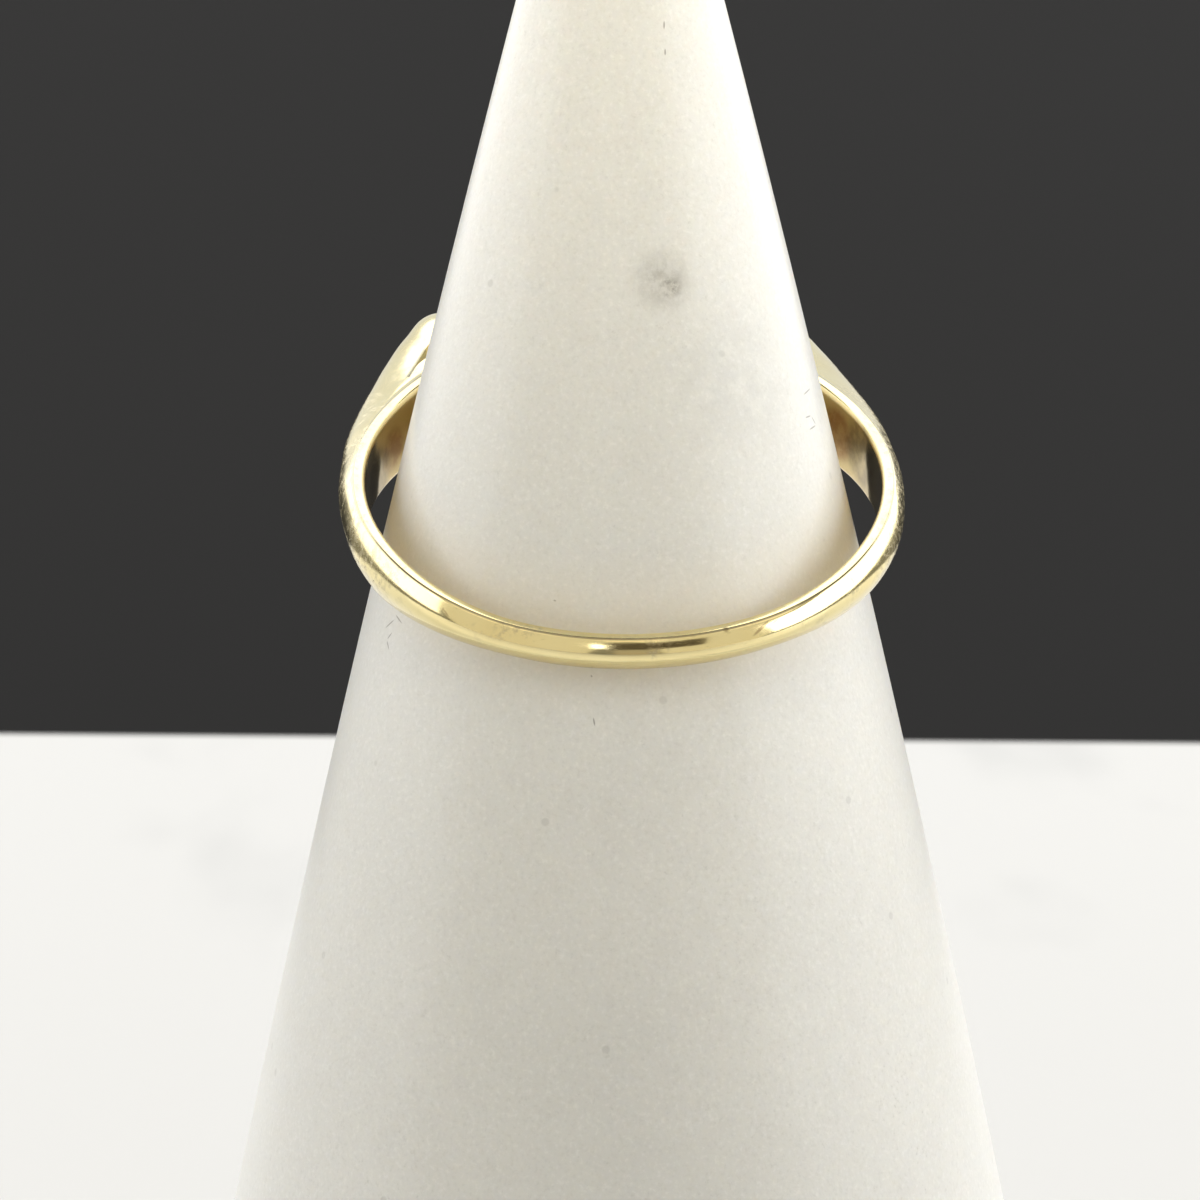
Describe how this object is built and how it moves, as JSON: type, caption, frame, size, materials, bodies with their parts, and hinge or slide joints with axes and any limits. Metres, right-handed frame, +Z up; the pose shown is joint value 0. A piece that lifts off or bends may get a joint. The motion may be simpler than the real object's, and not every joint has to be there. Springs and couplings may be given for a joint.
{
  "type": "halo ring on a cone stand",
  "caption": "Halo ring resting tilted on a plain tapered cone stand, with a domed shank, open arched shoulders, a claw-set round stone and a halo plate of small stones.",
  "frame": {"origin": "centre of the cone's flat base, at the bottom", "axes": "+Z up along the cone's axis, -Y towards the back of the ring's shank, which is the side the picture shows, and +Y towards the ring's head"},
  "size_m": [0.0378, 0.0378, 0.075],
  "materials": {
    "gold": "polished pale yellow gold",
    "centre_stone": "faceted clear stone, polished",
    "halo_stones": "faceted clear stones, polished",
    "marble": "honed warm white marble"
  },
  "bodies": {
    "root": {"ring_body": "gold", "centre_stone": "centre_stone", "halo_stone_01": "halo_stones", "halo_stone_02": "halo_stones", "halo_stone_03": "halo_stones", "halo_stone_04": "halo_stones", "halo_stone_05": "halo_stones", "halo_stone_06": "halo_stones", "halo_stone_07": "halo_stones", "halo_stone_08": "halo_stones", "halo_stone_09": "halo_stones", "halo_stone_10": "halo_stones", "halo_stone_11": "halo_stones", "halo_stone_12": "halo_stones", "halo_stone_13": "halo_stones", "halo_stone_14": "halo_stones", "halo_stone_15": "halo_stones", "halo_stone_16": "halo_stones", "ring_cone": "marble"}
  },
  "joints": []
}
